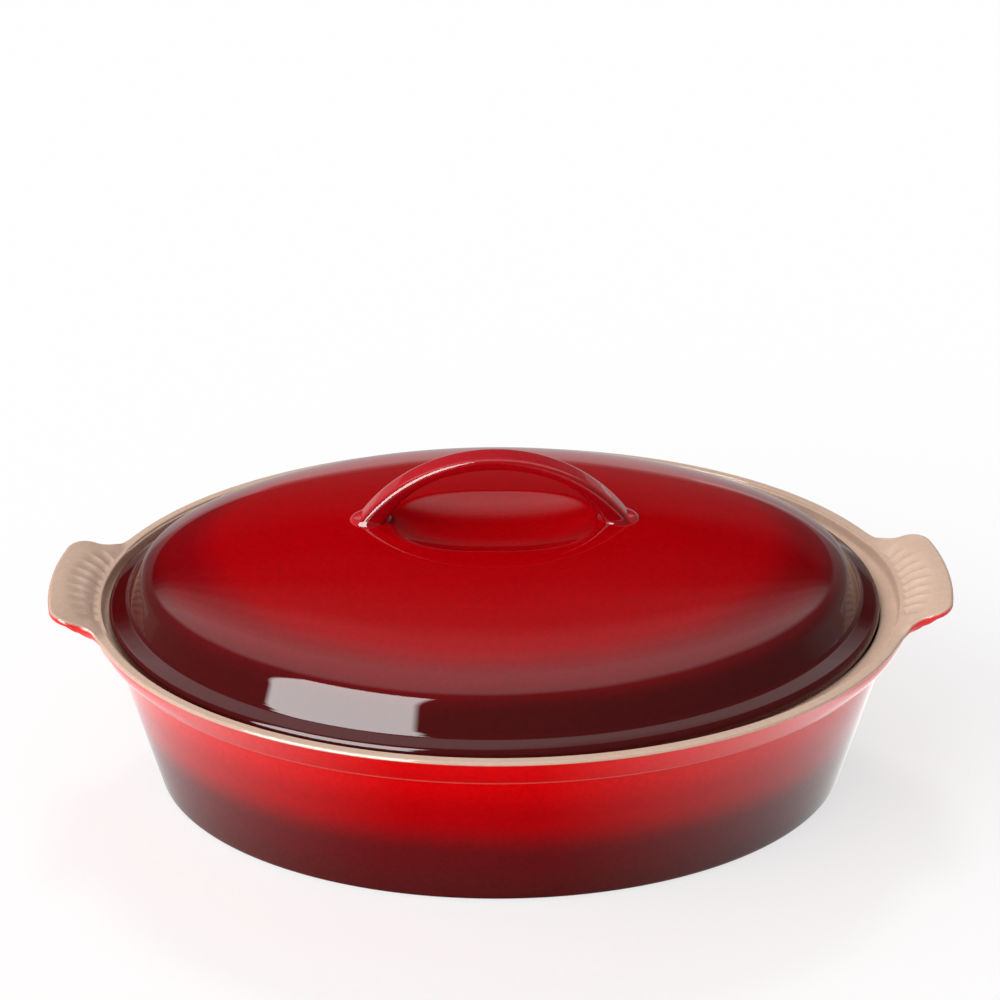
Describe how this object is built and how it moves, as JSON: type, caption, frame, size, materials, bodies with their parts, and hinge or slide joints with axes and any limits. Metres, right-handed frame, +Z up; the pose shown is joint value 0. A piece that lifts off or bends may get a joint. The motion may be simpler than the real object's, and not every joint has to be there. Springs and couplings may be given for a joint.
{
  "type": "covered casserole dish",
  "caption": "Oval glazed stoneware casserole with fluted fan side handles and a domed lid that lifts off by a strap handle over a finger well.",
  "frame": {"origin": "under the middle of the dish, on the surface that it stands on", "axes": "+X along the two side handles, +Y across the dish, +Z up"},
  "size_m": [0.427, 0.2984, 0.167],
  "materials": {
    "dish_glaze": "glossy red glaze outside, darker at the foot, cream glaze inside and on the handles",
    "lid_glaze": "glossy red glaze that darkens to maroon at the edge",
    "handle_glaze": "glossy red glaze"
  },
  "bodies": {
    "casserole_dish": {"casserole_dish": "dish_glaze"},
    "lid": {"lid": "lid_glaze", "lid_handle": "handle_glaze"}
  },
  "joints": [
    {"name": "lid_lift", "type": "slide", "parent": "casserole_dish", "child": "lid", "axis": [0, 0, 1], "range_m": [0, 0.15]}
  ]
}
